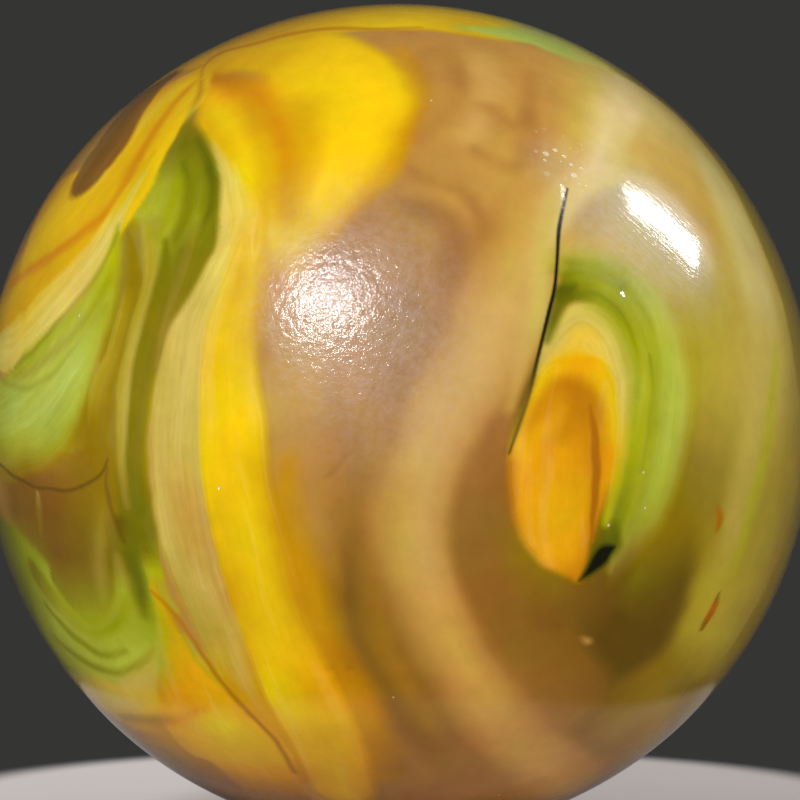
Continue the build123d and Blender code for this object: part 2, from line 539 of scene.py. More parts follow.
streak([
    (0.1, 4.95, 0.05, "fawn"), (0.45, 4.65, 0.1), (0.85, 4.45, 0.08, "clay"), (1.3, 4.3, 0.1, "fawn"),
    (1.6, 3.95, 0.12), (1.65, 3.4, 0.1, "clay")
], soft=0.35, body=0.6)
streak([
    (0.1, 4.1, 0.1, "fawn"), (0.6, 3.9, 0.25), (1.1, 3.5, 0.3), (1.0, 2.8, 0.3), (0.6, 2.2, 0.2, "clay")
], soft=0.5)

# Khaki glass between the seam and the right side, greyed where the window lamp's highlight falls: the grey is
# painted haze of that lamp's reflection
streak([
    (3.5, 5.0, 0.3, "khaki"), (3.6, 4.4, 0.5, "slate khaki"), (4.1, 3.9, 0.7, "khaki slate"),
    (4.9, 3.5, 0.6, "mustard slate"), (5.5, 2.8, 0.3, "mustard oak")
], soft=0.9, body=0.75)

# The pale strip that runs down to the seam
streak([
    (4.0, 7.0, 0.5, "khaki peach khaki"), (4.1, 6.0, 0.55, "khaki peach peach"),
    (3.8, 5.0, 0.5, "wheat peach khaki"), (3.0, 4.0, 0.3, "sand khaki peach"),
    (2.7, 3.0, 0.25, "sand khaki khaki"), (2.55, 2.0, 0.25), (2.35, 1.2, 0.2, "sand sand wheat"),
    (2.1, 0.3, 0.1, "tan wheat")
], soft=0.35)

# The khaki band
streak([
    (-3.6, 5.6, 0.1, "cream"), (-3.4, 5.1, 0.3, "khaki cream"), (-3.2, 4.5, 0.4, "khaki cream straw"),
    (-3.1, 3.8, 0.55), (-3.4, 3.0, 0.6), (-3.75, 2.2, 0.65, "khaki khaki straw"),
    (-4.0, 1.2, 0.65, "khaki khaki cream"), (-4.1, 0.0, 0.6, "khaki"),
    (-4.05, -1.2, 0.55, "khaki wheat khaki"), (-3.95, -2.2, 0.55, "khaki wheat wheat"),
    (-3.75, -3.1, 0.5, "mustard khaki wheat"), (-3.35, -4.0, 0.45, "mustard wheat"),
    (-2.9, -4.9, 0.4, "honey wheat honey"), (-2.3, -5.9, 0.25, "honey"), (-1.8, -6.8, 0.15, "amber")
], soft=0.25)

# The long yellow band, with its soft straw-coloured head and amber flank
streak([
    (-2.9, 4.3, 0.2, "straw"), (-2.75, 3.5, 0.4, "straw straw gold"), (-2.8, 2.4, 0.5, "straw gold tan"),
    (-2.9, 1.4, 0.5, "straw gold clay")
], soft=0.5)
streak([
    (-2.0, -0.8, 0.2, "honey tan"), (-1.9, -2.0, 0.45), (-1.6, -3.2, 0.5, "honey honey brown"),
    (-1.15, -4.4, 0.5, "honey amber brown"), (-0.7, -5.5, 0.45, "honey amber"),
    (-0.3, -6.6, 0.4, "amber brown")
], soft=0.5)
streak([
    (-2.95, 3.4, 0.1, "straw"), (-3.05, 2.5, 0.32, "straw gold straw"),
    (-3.15, 1.6, 0.45, "straw yellow gold"), (-3.2, 0.8, 0.52, "straw yellow yellow"),
    (-3.15, 0.0, 0.57, "yellow yellow sun yellow"), (-3.08, -1.0, 0.6, "yellow sun yellow gold"),
    (-2.92, -2.0, 0.63, "yellow yellow yellow honey"), (-2.67, -3.0, 0.63, "gold yellow yellow honey"),
    (-2.3, -4.0, 0.63), (-1.85, -5.0, 0.63, "yellow yellow tangerine orange"),
    (-1.38, -6.0, 0.6, "gold tangerine tangerine orange"), (-1.0, -7.0, 0.5, "honey gold amber")
], soft=0.16, soft_right=0.3)

# The yellow at the top
streak([
    (-2.9, 6.95, 0.15, "gold"), (-1.9, 7.0, 0.6, "gold yellow"),
    (-1.32, 6.5, 1.28, "yellow yellow sun yellow"), (-1.28, 5.8, 1.45, "gold honey yellow sun yellow"),
    (-1.3, 5.1, 1.4, "yellow honey sun sun gold"), (-1.5, 4.5, 1.15, "gold honey sun yellow honey"),
    (-1.7, 3.9, 0.85, "straw gold yellow honey"), (-1.9, 3.3, 0.6, "straw straw tan"), (-2.0, 2.6, 0.3, "tan")
], soft=0.4, soft_right=0.5)
streak([
    (-3.55, 6.35, 0.12, "orange"), (-3.4, 5.85, 0.42, "gold yellow orange"),
    (-3.0, 5.3, 0.4, "gold yellow gold"), (-2.8, 4.7, 0.35, "cream yellow gold"),
    (-2.75, 4.0, 0.3, "cream straw gold"), (-2.8, 3.3, 0.2, "straw")
], soft=0.3)
streak([
    (0.05, 7.1, 0.1, "honey"), (0.25, 6.6, 0.17, "gold amber"), (0.25, 6.0, 0.2), (0.1, 5.4, 0.2),
    (-0.2, 4.8, 0.18), (-0.6, 4.2, 0.12, "honey tan")
], soft=0.5, body=0.6)
streak([(-3.65, 6.68, 0.1, "gold"), (-3.1, 6.82, 0.2), (-2.5, 6.85, 0.2)], soft=0.4)
streak([
    (-3.7, 6.6, 0.08, "rust"), (-3.3, 6.42, 0.2, "pumpkin rust"), (-2.8, 6.2, 0.36, "orange pumpkin orange"),
    (-2.4, 5.8, 0.42, "gold pumpkin gold"), (-2.2, 5.2, 0.4), (-2.15, 4.6, 0.34, "gold honey gold"),
    (-2.2, 4.0, 0.2, "gold honey")
], soft=0.65, body=0.9)

# The olive wedge on the left, and its light and dark stripes
streak([
    (-3.75, 6.2, 0.03, "olive"), (-3.95, 5.7, 0.08), (-4.0, 5.2, 0.38, "olive moss olive"),
    (-4.1, 4.6, 0.6, "leaf grass moss"), (-4.25, 3.9, 0.78, "pea leaf grass moss"),
    (-4.5, 3.3, 0.85, "dun oak leaf moss olive"), (-4.7, 2.6, 0.75, "dun oak olive olive"),
    (-4.95, 1.9, 0.65, "dun olive olive oak"), (-5.1, 1.2, 0.6), (-5.2, 0.4, 0.55, "dun oak olive mustard"),
    (-5.2, -0.5, 0.5), (-5.15, -1.3, 0.5, "dun olive olive"), (-5.05, -2.1, 0.5, "olive moss olive"),
    (-4.95, -2.9, 0.4, "olive moss pea")
], soft=0.2)
streak([
    (-4.4, 3.4, 0.06, "moss"), (-4.42, 2.8, 0.13, "moss olive"), (-4.6, 2.1, 0.16, "olive"),
    (-4.75, 1.3, 0.18), (-4.88, 0.4, 0.18), (-4.92, -0.6, 0.17), (-4.88, -1.6, 0.12, "moss")
], soft=0.2, body=0.8)
streak([
    (-3.8, 3.9, 0.03, "leaf"), (-3.95, 3.3, 0.06, "oak"), (-4.15, 2.7, 0.07), (-4.4, 1.9, 0.07),
    (-4.6, 1.0, 0.05)
], soft=0.25, body=0.6)
streak([
    (-4.95, 4.05, 0.04, "leaf"), (-4.75, 3.6, 0.1, "mustard leaf"), (-4.72, 3.0, 0.12, "mustard"),
    (-4.87, 2.3, 0.12), (-5.05, 1.6, 0.12, "mustard khaki"), (-5.2, 0.8, 0.13), (-5.24, 0.0, 0.12),
    (-5.2, -0.8, 0.08, "mustard"), (-5.08, -1.6, 0.05, "oak")
], soft=0.14, body=0.75)
streak([
    (-3.78, 5.35, 0.03, "pine"), (-3.6, 4.95, 0.06), (-3.53, 4.5, 0.07, "pine moss"),
    (-3.6, 4.0, 0.06, "moss pine"), (-3.75, 3.6, 0.03, "moss")
], soft=0.2, body=0.8)
streak([
    (-4.05, 4.9, 0.05, "pine"), (-3.95, 4.5, 0.1, "moss"), (-4.0, 4.0, 0.1), (-4.2, 3.5, 0.08)
], soft=0.25, body=0.6)

# The left flank, under the green tongue and round to the foot
streak([
    (-6.7, 0.6, 0.8, "dun"), (-6.8, -0.5, 1.0, "olive mustard dun"), (-6.7, -1.1, 1.1, "umber brown dun"),
    (-6.6, -1.8, 1.1, "umber umber dun"), (-6.4, -2.6, 1.1, "grass umber olive"),
    (-6.1, -3.6, 1.1, "grass leaf"), (-5.7, -4.5, 1.1, "grass leaf pea"),
    (-5.2, -5.1, 1.1, "oak khaki mustard"), (-4.6, -5.8, 1.1, "amber honey gold"),
    (-3.8, -6.8, 0.9, "umber fawn")
], soft=1.4, soft_right=0.35)
streak([
    (-5.15, 3.6, 0.05, "dun"), (-5.05, 3.2, 0.1), (-5.1, 2.6, 0.15), (-5.25, 2.0, 0.15, "mustard dun"),
    (-5.4, 1.2, 0.18), (-5.65, 0.5, 0.22), (-5.75, -0.2, 0.2, "dun"), (-5.7, -0.8, 0.1)
])

# The green fold at the lower left, as nested bends
streak([
    (-9.0, -0.9, 0.08, "olive"), (-8.2, -1.6, 0.2), (-7.6, -2.3, 0.3, "moss"),
    (-7.1, -3.1, 0.45, "moss grass"), (-6.5, -3.9, 0.5, "leaf lime"), (-5.8, -4.35, 0.5, "lime leaf"),
    (-5.2, -4.2, 0.45), (-4.85, -3.6, 0.35, "grass leaf"), (-4.8, -2.9, 0.25, "pea leaf")
], soft=0.35)
streak([
    (-6.75, -4.35, 0.05, "khaki"), (-6.35, -4.85, 0.15, "mustard khaki"), (-5.9, -5.2, 0.3, "gold khaki"),
    (-5.2, -5.45, 0.45, "gold khaki straw"), (-4.6, -5.3, 0.35, "gold khaki")
], soft=0.45, body=0.85)
streak([
    (-6.9, -2.9, 0.1, "olive"), (-6.4, -3.5, 0.14, "leaf"), (-5.9, -3.9, 0.15),
    (-5.45, -3.75, 0.16, "grass leaf"), (-5.25, -3.2, 0.14, "leaf"), (-5.3, -2.6, 0.1, "oak")
], soft=0.2)
streak([
    (-5.55, -1.5, 0.05, "oak"), (-5.65, -2.2, 0.12, "oak khaki"), (-5.7, -2.9, 0.13),
    (-5.6, -3.4, 0.06, "leaf")
], soft=0.35, body=0.5)
streak([
    (-6.7, -3.5, 0.03, "moss"), (-6.2, -4.05, 0.05), (-5.7, -4.4, 0.05), (-5.2, -4.35, 0.04)
], soft=0.2, body=0.5)
streak([
    (-6.6, -4.1, 0.03, "oak"), (-6.1, -4.5, 0.05, "moss"), (-5.55, -4.75, 0.06), (-5.0, -4.65, 0.05),
    (-4.65, -4.3, 0.03, "oak")
], soft=0.2, body=0.5)
streak([
    (-5.2, -1.9, 0.08, "bark"), (-5.15, -2.3, 0.12, "moss"), (-5.0, -2.8, 0.14, "pine"), (-4.95, -3.2, 0.14),
    (-4.9, -3.6, 0.08, "moss")
], soft=0.35, body=0.75)
streak([
    (-4.8, -2.4, 0.1, "olive"), (-4.65, -2.8, 0.15, "pea"), (-4.55, -3.2, 0.12, "mustard"), (-4.3, -3.6, 0.1)
], soft=0.2)

# The gold tip below the fold
streak([
    (-4.7, -3.1, 0.04, "gold"), (-4.55, -3.6, 0.12, "pea gold"), (-4.4, -4.1, 0.22, "leaf gold"),
    (-4.2, -4.7, 0.38, "leaf gold orange"), (-3.9, -5.3, 0.6, "honey orange tangerine"),
    (-3.5, -5.9, 0.7, "orange tangerine yellow tangerine"), (-2.8, -6.5, 0.6, "orange tangerine orange"),
    (-2.2, -7.2, 0.4, "fawn")
], soft=0.2)
streak([
    (-5.3, -5.7, 0.08, "umber"), (-4.7, -5.75, 0.1), (-4.1, -5.72, 0.1, "amber"), (-3.6, -5.5, 0.06)
], soft=0.32, body=0.55)
fine_line([
    (-4.75, -3.15, 0.02, "amber"), (-4.4, -3.55, 0.03), (-4.1, -3.95, 0.04), (-3.7, -4.5, 0.04),
    (-3.2, -5.1, 0.04), (-2.7, -5.6, 0.04), (-2.25, -6.1, 0.04), (-1.9, -6.7, 0.04)
], soft=0.12)

# The upper left: gold and cream bands that run together at one point
streak([
    (-3.6, 6.7, 0.1, "gold"), (-4.0, 6.4, 0.32, "orange yellow gold"),
    (-4.45, 5.95, 0.45, "orange yellow gold yellow"), (-4.9, 5.3, 0.5),
    (-5.35, 4.6, 0.6, "gold yellow gold yellow"), (-5.95, 3.95, 0.8, "yellow yellow gold yellow"),
    (-6.5, 3.4, 1.0, "orange yellow gold yellow"), (-7.0, 2.8, 1.0, "orange yellow gold honey"),
    (-7.5, 2.2, 0.8, "honey gold honey"), (-8.2, 1.5, 0.65, "honey gold yellow"),
    (-8.9, 0.9, 0.6, "gold yellow"), (-9.7, 0.1, 0.55), (-10.7, -1.0, 0.45), (-11.7, -2.4, 0.3, "honey gold"),
    (-12.3, -3.8, 0.12, "honey")
])
streak([
    (-3.6, 7.1, 0.3, "honey brown"), (-4.5, 6.6, 0.4), (-5.5, 5.85, 0.45), (-6.2, 5.15, 0.4, "amber brown"),
    (-6.75, 4.4, 0.35, "honey amber gold"), (-7.2, 3.6, 0.3, "honey gold"), (-7.6, 2.8, 0.3),
    (-8.2, 1.8, 0.3, "honey")
], soft=0.25)
streak([
    (-4.1, 6.8, 0.12, "umber"), (-4.65, 6.4, 0.2, "brown umber"), (-5.1, 5.9, 0.25, "brown umber brown"),
    (-5.45, 5.35, 0.26), (-5.68, 5.0, 0.25), (-5.85, 4.75, 0.21)
], soft=0.2, still=True)
streak([
    (-3.75, 6.5, 0.02, "pumpkin"), (-4.2, 6.1, 0.05), (-4.5, 5.65, 0.06), (-4.85, 5.0, 0.06),
    (-5.2, 4.4, 0.07), (-5.5, 3.95, 0.08), (-5.9, 3.6, 0.08), (-6.35, 3.25, 0.08), (-6.9, 2.9, 0.09),
    (-7.4, 2.6, 0.08)
], soft=0.22, body=0.85)
streak([
    (-4.55, 5.15, 0.03, "gold"), (-4.9, 4.6, 0.1, "gold cream"), (-5.22, 4.1, 0.15),
    (-5.5, 3.55, 0.2, "straw cream cream"), (-5.85, 3.0, 0.25), (-6.25, 2.5, 0.3), (-6.7, 2.05, 0.34),
    (-7.15, 1.65, 0.36, "straw cream"), (-7.6, 1.4, 0.36, "cream"), (-8.3, 0.9, 0.32, "khaki cream"),
    (-9.1, 0.1, 0.28), (-10.0, -1.0, 0.22), (-10.9, -2.4, 0.12, "khaki")
])
fine_line([
    (-3.68, 6.5, 0.03, "copper"), (-3.72, 6.25, 0.04), (-3.88, 5.9, 0.05, "mustard"),
    (-4.0, 5.6, 0.05, "olive"), (-4.12, 5.3, 0.04)
], soft=0.15, body=0.8, layer=1)

# The green tongue and its growth lines
streak([
    (-5.3, 3.6, 0.04, "leaf"), (-5.42, 3.1, 0.12, "pea"), (-5.6, 2.6, 0.22, "pea leaf"),
    (-5.9, 1.9, 0.38, "leaf lime leaf"), (-6.3, 1.2, 0.62, "leaf lime mint lime"),
    (-6.8, 0.5, 0.85, "leaf lime mint leaf"), (-7.3, 0.05, 0.95, "leaf mint lime dun"),
    (-7.9, -0.3, 0.8, "lime leaf dun"), (-8.6, -0.8, 0.65, "leaf lime dun"), (-9.3, -1.6, 0.5, "leaf olive"),
    (-10.0, -2.8, 0.35, "grass olive"), (-10.5, -4.2, 0.15, "olive")
], soft=0.2, soft_right=0.45)
fine_line([
    (-5.3, 3.5, 0.02, "olive"), (-5.65, 2.9, 0.03), (-6.05, 2.35, 0.035), (-6.5, 1.85, 0.035),
    (-6.9, 1.45, 0.035), (-7.3, 1.1, 0.03)
], soft=0.12, body=0.5)
streak([
    (-5.5, 2.7, 0.04, "olive"), (-5.9, 2.0, 0.07), (-6.4, 1.45, 0.07, "oak"), (-6.9, 1.05, 0.07),
    (-7.3, 0.9, 0.06)
], soft=0.3, body=0.4)
fine_line([
    (-5.6, 2.2, 0.02, "oak"), (-6.1, 1.45, 0.03), (-6.6, 0.9, 0.03, "olive"), (-7.0, 0.68, 0.035),
    (-7.35, 0.75, 0.03), (-7.6, 1.0, 0.02, "oak")
], soft=0.18, body=0.45, layer=1)
fine_line([
    (-7.7, -0.75, 0.02, "bark"), (-7.25, -1.15, 0.028), (-6.95, -1.32, 0.03), (-6.5, -1.37, 0.03),
    (-6.1, -1.32, 0.03), (-5.8, -1.15, 0.028), (-5.6, -0.95, 0.025), (-5.5, -0.7, 0.015)
], soft=0.08, body=0.9)
fine_line([
    (-5.5, -0.85, 0.015, "bark"), (-5.5, -1.25, 0.025), (-5.35, -1.7, 0.03), (-5.15, -2.25, 0.03)
], soft=0.14, body=0.7, layer=1)
streak([(-6.85, -1.45, 0.03, "khaki"), (-6.8, -1.8, 0.06, "oak"), (-6.75, -2.2, 0.03)], soft=0.12, body=0.6)

# The strip that runs round the rim of the top and the right
streak([
    (-4.6, 6.5, 0.08, "gold"), (-4.1, 6.83, 0.2), (-3.4, 7.15, 0.36, "gold honey"), (-2.2, 7.6, 0.55),
    (-0.8, 7.9, 0.57, "yellow gold honey"), (0.6, 7.92, 0.57, "yellow yellow honey"),
    (1.7, 7.75, 0.56, "gold sun ivory"), (2.6, 7.5, 0.45, "mint ivory"), (3.4, 7.17, 0.36, "cream mint"),
    (4.3, 6.72, 0.3, "oak cream"), (5.2, 6.07, 0.3, "oak mustard"), (6.3, 4.92, 0.36), (7.1, 3.6, 0.4, "oak"),
    (7.6, 2.35, 0.45), (7.9, 1.0, 0.5), (7.95, -0.8, 0.5), (7.6, -2.4, 0.45), (6.9, -3.9, 0.36, "dun"),
    (5.9, -5.3, 0.25)
], soft=0.3, soft_right=1.6)
fine_line([
    (-3.68, 6.55, 0.02, "copper"), (-3.6, 6.85, 0.03), (-3.3, 7.04, 0.03), (-2.8, 7.16, 0.03, "amber"),
    (-2.2, 7.34, 0.035), (-1.4, 7.46, 0.035), (-0.4, 7.5, 0.03), (0.5, 7.52, 0.02, "honey")
], soft=0.14, body=0.75)
streak([
    (1.2, 7.5, 0.03, "lime"), (1.9, 7.42, 0.09, "mint lime"), (2.6, 7.3, 0.15, "mint"), (3.2, 7.08, 0.17),
    (3.9, 6.78, 0.08, "cream")
], soft=0.3)

# The pale stripe and the yellow-green edge on the right
streak([
    (5.9, 4.9, 0.15, "ivory"), (6.5, 3.7, 0.25), (6.8, 2.5, 0.3), (6.95, 1.4, 0.3, "khaki"), (6.95, 0.2, 0.3),
    (6.75, -1.0, 0.28), (6.4, -2.0, 0.25), (5.9, -3.0, 0.2, "mustard")
], soft=0.7, body=0.6)
streak([
    (7.15, 1.5, 0.02, "pea"), (7.15, 0.3, 0.08), (7.0, -0.8, 0.1), (6.75, -1.7, 0.1), (6.5, -2.5, 0.08),
    (6.25, -3.2, 0.05, "mustard")
], soft=0.35, body=0.55)

# The green folds round the orange eye
streak([
    (3.15, 2.85, 0.2, "moss leaf"), (3.5, 2.95, 0.42, "moss leaf khaki"),
    (4.15, 2.75, 0.52, "leaf grass leaf khaki"), (4.68, 2.1, 0.58, "grass leaf lime mustard"),
    (4.95, 1.3, 0.58, "pea leaf lime mustard"), (4.98, 0.3, 0.55, "pea leaf lime lime"), (4.87, -0.7, 0.5),
    (4.62, -1.6, 0.42, "pea leaf lime"), (4.32, -2.3, 0.28, "leaf oak"), (4.05, -2.8, 0.12, "oak")
], soft=0.25, soft_right=0.75)
streak([
    (3.1, 2.4, 0.2, "moss pine"), (3.35, 2.5, 0.3, "moss grass"), (3.8, 2.4, 0.26, "grass leaf"),
    (4.2, 2.0, 0.22), (4.5, 1.4, 0.18, "pea leaf"), (4.6, 0.6, 0.2, "lime pea"), (4.55, -0.2, 0.22, "pea"),
    (4.4, -1.1, 0.22, "grass pea"), (4.15, -1.9, 0.2, "moss grass"), (4.0, -2.4, 0.1, "pine")
], soft=0.18)
streak([
    (3.2, 3.0, 0.05, "moss"), (3.7, 2.95, 0.07, "grass"), (4.25, 2.6, 0.06), (4.7, 1.95, 0.06),
    (4.9, 1.2, 0.03, "pea")
], soft=0.25, body=0.5)
fine_line([
    (3.3, 2.4, 0.03, "moss"), (3.65, 2.42, 0.03), (4.05, 2.15, 0.03), (4.35, 1.7, 0.03),
    (4.5, 1.1, 0.03, "grass"), (4.55, 0.4, 0.03)
], soft=0.14, body=0.5)
fine_line([
    (4.72, 1.3, 0.02, "moss"), (4.8, 0.6, 0.03, "grass"), (4.75, -0.2, 0.03), (4.6, -1.0, 0.02)
], soft=0.1, body=0.5, layer=1)

# The eye: cream cap, yellow rim and orange heart
streak([
    (2.75, 1.0, 0.15, "khaki"), (3.0, 1.55, 0.28, "khaki cream"), (3.35, 1.85, 0.36),
    (3.75, 1.7, 0.4, "straw cream leaf"), (4.1, 1.1, 0.35), (4.25, 0.4, 0.28),
    (4.25, -0.4, 0.2, "yellow straw pea"), (4.15, -1.2, 0.14, "yellow pea"), (4.0, -1.9, 0.08, "pea")
], soft=0.2)
streak([
    (3.45, 1.45, 0.3, "straw"), (3.4, 1.0, 0.6, "straw yellow straw"), (3.35, 0.4, 0.8, "yellow")
], soft=0.3)
streak([
    (3.4, 0.5, 0.72, "yellow tangerine yellow"),
    (3.33, 0.1, 0.86, "yellow tangerine pumpkin tangerine yellow"),
    (3.2, -0.4, 0.98, "yellow tangerine pumpkin tangerine tangerine"),
    (3.15, -1.1, 0.95, "tangerine tangerine pumpkin tangerine tangerine"),
    (3.12, -1.8, 0.82, "tangerine tangerine tangerine tangerine pumpkin"),
    (3.2, -2.4, 0.58, "tangerine tangerine pumpkin"), (3.4, -2.9, 0.15, "pumpkin")
], soft=0.22)
streak([
    (2.38, -0.55, 0.06, "tangerine"), (2.55, -0.05, 0.16, "pumpkin"), (2.88, 0.35, 0.26),
    (3.25, 0.55, 0.32, "pumpkin copper"), (3.57, 0.3, 0.32), (3.72, -0.25, 0.24, "pumpkin"),
    (3.75, -0.9, 0.14), (3.75, -1.7, 0.06)
], soft=0.4, body=0.85)
streak([(3.2, -0.5, 0.1, "tangerine"), (3.1, -1.1, 0.4), (3.05, -1.8, 0.45), (3.15, -2.4, 0.25)], soft=0.6)
streak([
    (2.27, -0.3, 0.03, "pumpkin"), (2.2, -0.9, 0.07, "copper"), (2.22, -1.6, 0.08),
    (2.42, -2.25, 0.06, "pumpkin"), (2.8, -2.7, 0.04)
], soft=0.3, body=0.7)
fine_line([
    (3.7, 0.3, 0.02, "copper"), (3.78, -0.3, 0.07), (3.8, -0.9, 0.08), (3.78, -1.4, 0.07), (3.73, -1.9, 0.05),
    (3.72, -2.3, 0.03)
], soft=0.08)

# The dark chink at the eye's foot, and the seam, whose near-black line is painted shade in its slit
streak([
    (3.5, -2.95, 0.04, "pine"), (3.7, -2.72, 0.12), (3.9, -2.48, 0.18), (4.1, -2.28, 0.16, "pine moss"),
    (4.15, -1.95, 0.08, "moss")
], soft=0.25, body=0.85)
fine_line([
    (3.42, -3.03, 0.02, "ink"), (3.62, -2.84, 0.07), (3.8, -2.63, 0.14), (3.93, -2.48, 0.13),
    (4.1, -2.38, 0.03)
], soft=0.13, still=True, layer=1)
streak([
    (3.35, 2.55, 0.04, "pine"), (3.1, 2.3, 0.14, "pine moss"), (2.95, 1.9, 0.1, "pine"), (2.82, 1.5, 0.05)
], soft=0.2, body=0.8, still=True)
streak([
    (2.75, 1.55, 0.02, "oak"), (2.5, 0.75, 0.06, "bark"), (2.28, 0.05, 0.07), (2.1, -0.6, 0.03, "dun")
], soft=0.22, body=0.6, still=True)
# Painted shade: a near-black line along the seam's furrow, for the shade in its slit
fine_line([
    (3.23, 4.42, 0.02, "ink"), (3.15, 4.1, 0.035), (3.05, 3.6, 0.045), (3.02, 3.0, 0.035), (2.97, 2.5, 0.035),
    (2.85, 2.0, 0.04), (2.65, 1.2, 0.04, "ink bark"), (2.45, 0.4, 0.04, "oak bark"), (2.2, -0.35, 0.03),
    (2.1, -0.65, 0.02, "bark")
], soft=0.05, still=True)

# Foreign specks
streak([(6.08, -1.62, 0.02, "rust"), (6.12, -1.85, 0.06), (6.06, -2.02, 0.03)], body=0.8)
streak([(6.1, -3.25, 0.02, "umber"), (6.0, -3.55, 0.06, "rust"), (5.78, -3.95, 0.03, "umber")], soft=0.08)
streak([(3.5, -4.1, 0.03, "tan"), (3.62, -4.17, 0.06, "sand"), (3.7, -4.19, 0.02, "tan")], body=0.8)

# The seam, the nick and the chips, at the CAD's places in degrees to the right of the front and over the
# equator. The seam is wider and shallower than the CAD's, so that the skin's points can follow it.
seam_half_width = 0.12
seam_depth = 0.045
seam_places = [(30.0, 36.1), (27.0, 29.2), (23.7, 22.3), (19.8, 10.4), (15.4, -1.6)]
nick_half_width = 0.055
nick_depth = 0.04
nick_places = [(-9.8, -5.0), (-8.2, -3.9), (-7.0, -2.1)]
furrow_run_out = 1.5  # as a share of its half width
round_chip_places = [(35.1, 20.5)]
round_chip_radius = 0.15
round_chip_depth = 0.06
small_chip_places = [(30.8, 37.6), (35.4, 41.6), (-11.0, -33.4), (-7.7, -33.2)]
small_chip_radius = 0.08
small_chip_depth = 0.03
chip_run_out = 1.15  # as a share of its radius


def on_globe(east, north):
    east, north = np.radians(east), np.radians(north)
    return np.array([np.sin(east) * np.cos(north), -np.cos(east) * np.cos(north), np.sin(north)])


def furrow(places, half_width, depth):
    """How far the skin sinks in a furrow through the places"""
    route = through([on_globe(*place) for place in places], 12)
    route = route / np.linalg.norm(route, axis=1)[:, None]
    apart = np.sqrt(np.maximum(2 - 2 * (skin @ route.T).max(axis=1), 0)) * marble_radius
    return depth * eased(1 - apart / (furrow_run_out * half_width))


def chip(place, radius, depth):
    """How far the skin sinks in a chip at the place"""
    apart = np.linalg.norm(skin - on_globe(*place), axis=1) * marble_radius
    return depth * eased(chip_run_out - apart / radius)


marks = [furrow(seam_places, seam_half_width, seam_depth), furrow(nick_places, nick_half_width, nick_depth)]
marks += [chip(place, round_chip_radius, round_chip_depth) for place in round_chip_places]
marks += [chip(place, small_chip_radius, small_chip_depth) for place in small_chip_places]
sunk = np.max(marks, axis=0)

mesh = bpy.data.meshes.new("glass_ball")
mesh.from_pydata((skin * (marble_radius - sunk)[:, None] / 1000).tolist(), [], skin_faces.tolist())
mesh.update()
mesh.polygons.foreach_set("use_smooth", np.ones(len(mesh.polygons), bool))
marble = bpy.data.objects.new("marble", mesh)
bpy.context.scene.collection.objects.link(marble)

# Painted light: the colours low on the ball are painted up to a fifth brighter, and a little more on the
# right, for the light that comes up through the glass from below.
foot_painted_light = 0.2
foot_painted_light_start, foot_painted_light_run = 2.6, 4.2
right_painted_light = 0.08
right_painted_light_start, right_painted_light_run = 1.5, 2.0
right_side_start, right_side_run = -1.0, 3.0

rightward = skin @ view_right * marble_radius
downward = -(skin @ view_up) * marble_radius
painted_light_gain = 1 + foot_painted_light * eased((downward - foot_painted_light_start) / foot_painted_light_run)
painted_light_gain += (right_painted_light * eased((rightward - right_side_start) / right_side_run)
         * eased((downward - right_painted_light_start) / right_painted_light_run))
colour_with_painted_light = np.clip(skin_colour * painted_light_gain[:, None], 0, 1)


def keep_on_skin(name, kind, values):
    """Keep a value of each point with the mesh, for the material to read"""
    kept = mesh.attributes.new(name, kind, "POINT")
    field = {"FLOAT": "value", "FLOAT_VECTOR": "vector", "FLOAT_COLOR": "color"}[kind]
    kept.data.foreach_set(field, values.astype(np.float32).ravel())


solid_cover = np.ones((len(skin), 1))
# The swirl colours hold the glass's streaks and also the painted light at the foot.
keep_on_skin("swirl_with_foot_light", "FLOAT_COLOR", np.concatenate([light_values(colour_with_painted_light), solid_cover], axis=1))
keep_on_skin("flow", "FLOAT_VECTOR", skin_flow)
for layer in range(line_layers):
    line_light = np.concatenate([light_values(line_colour[layer, :, :3]), line_colour[layer, :, 3:]], axis=1)
    keep_on_skin("line_%d" % layer, "FLOAT_VECTOR", line_side[layer])
    keep_on_skin("line_colour_%d" % layer, "FLOAT_COLOR", line_light)

# The unwrapping has two round maps, of the front half and of the back half. The front one is larger.
front_map_centre, front_map_radius = 0.355, 0.345
back_map_centre, back_map_radius = 0.778, 0.212
corner_points = np.zeros(len(mesh.loops), np.int32)
mesh.loops.foreach_get("vertex_index", corner_points)
corner_skin = skin[corner_points]
face_depth = skin[skin_faces].mean(axis=1) @ front
in_front = np.repeat(face_depth > 0, 4)
pole_angle = np.arccos(np.clip(np.where(in_front, -1, 1) * corner_skin[:, 1], -1, 1)) / (np.pi / 2)
turn = np.arctan2(corner_skin[:, 2], corner_skin[:, 0])
map_radius = np.where(in_front, front_map_radius, back_map_radius) * pole_angle
map_centre = np.where(in_front, front_map_centre, back_map_centre)
flat_places = (map_centre + map_radius * np.stack([np.cos(turn), np.sin(turn)])).T
unwrapped = mesh.uv_layers.new(name="OFBake")
unwrapped.data.foreach_set("uv", flat_places.astype(np.float32).ravel())

# The wear: a rubbed patch left of the middle, a scratched one over the eye, and pin-holes over the seam's
# top. The rubbed and scratched patches lie where the lamps' highlights fall, and besides their roughness and
# relief they carry a painted milky sheen.
patch_run_out = 1.3  # as a share of its half width


def worn_patch(across, up, half_width, half_height, lean=0.0):
    """How far each point lies within an oval patch seen that far right and up of the centre, from 0 to 1"""
    spot = on_ball(across, up)
    right = -np.cross(spot, [0, 0, 1.0])
    right = right / np.linalg.norm(right)
    top = -np.cross(right, spot)
    a = skin @ right * marble_radius * np.sign(right @ view_right)
    b = skin @ top * marble_radius * np.sign(top @ view_up)
    turned_a = a * np.cos(lean) + b * np.sin(lean)
    turned_b = b * np.cos(lean) - a * np.sin(lean)
    out = np.hypot(turned_a / half_width, turned_b / half_height)
    return np.where(skin @ spot > 0, eased(patch_run_out - out), 0)


